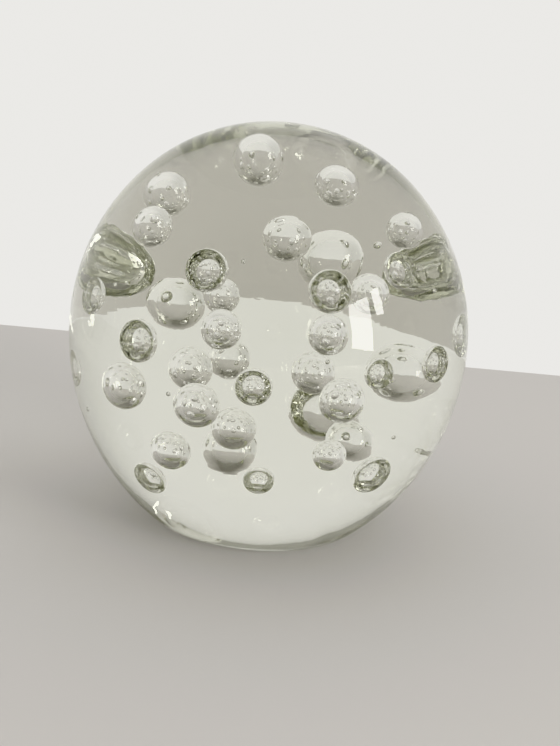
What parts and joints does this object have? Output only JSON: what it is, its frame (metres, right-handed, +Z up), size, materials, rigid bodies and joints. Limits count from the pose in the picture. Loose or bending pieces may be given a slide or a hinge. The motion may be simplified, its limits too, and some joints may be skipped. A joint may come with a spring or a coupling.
{
  "type": "paperweight",
  "caption": "Clear glass globe paperweight, slightly taller than a ball, on a flat ground base, with round air bubbles trapped in three layers inside.",
  "frame": {"origin": "middle of the flat ground base, on the surface that it rests on", "axes": "+Z up from the base through the crown; -Y towards the viewer of the front, +X to that viewer's right"},
  "size_m": [0.089, 0.089, 0.089],
  "materials": {
    "glass": "fire-polished, with a finely ground and polished base",
    "trapped_air": "clear air in a smooth round hollow"
  },
  "bodies": {
    "root": {"glass_globe": "glass", "outer_upper_bubbles": "trapped_air", "outer_waist_bubbles": "trapped_air", "outer_lower_bubbles": "trapped_air", "middle_upper_bubbles": "trapped_air", "middle_waist_bubbles": "trapped_air", "middle_lower_bubbles": "trapped_air", "inner_bubbles": "trapped_air", "seeds": "trapped_air"}
  },
  "joints": []
}
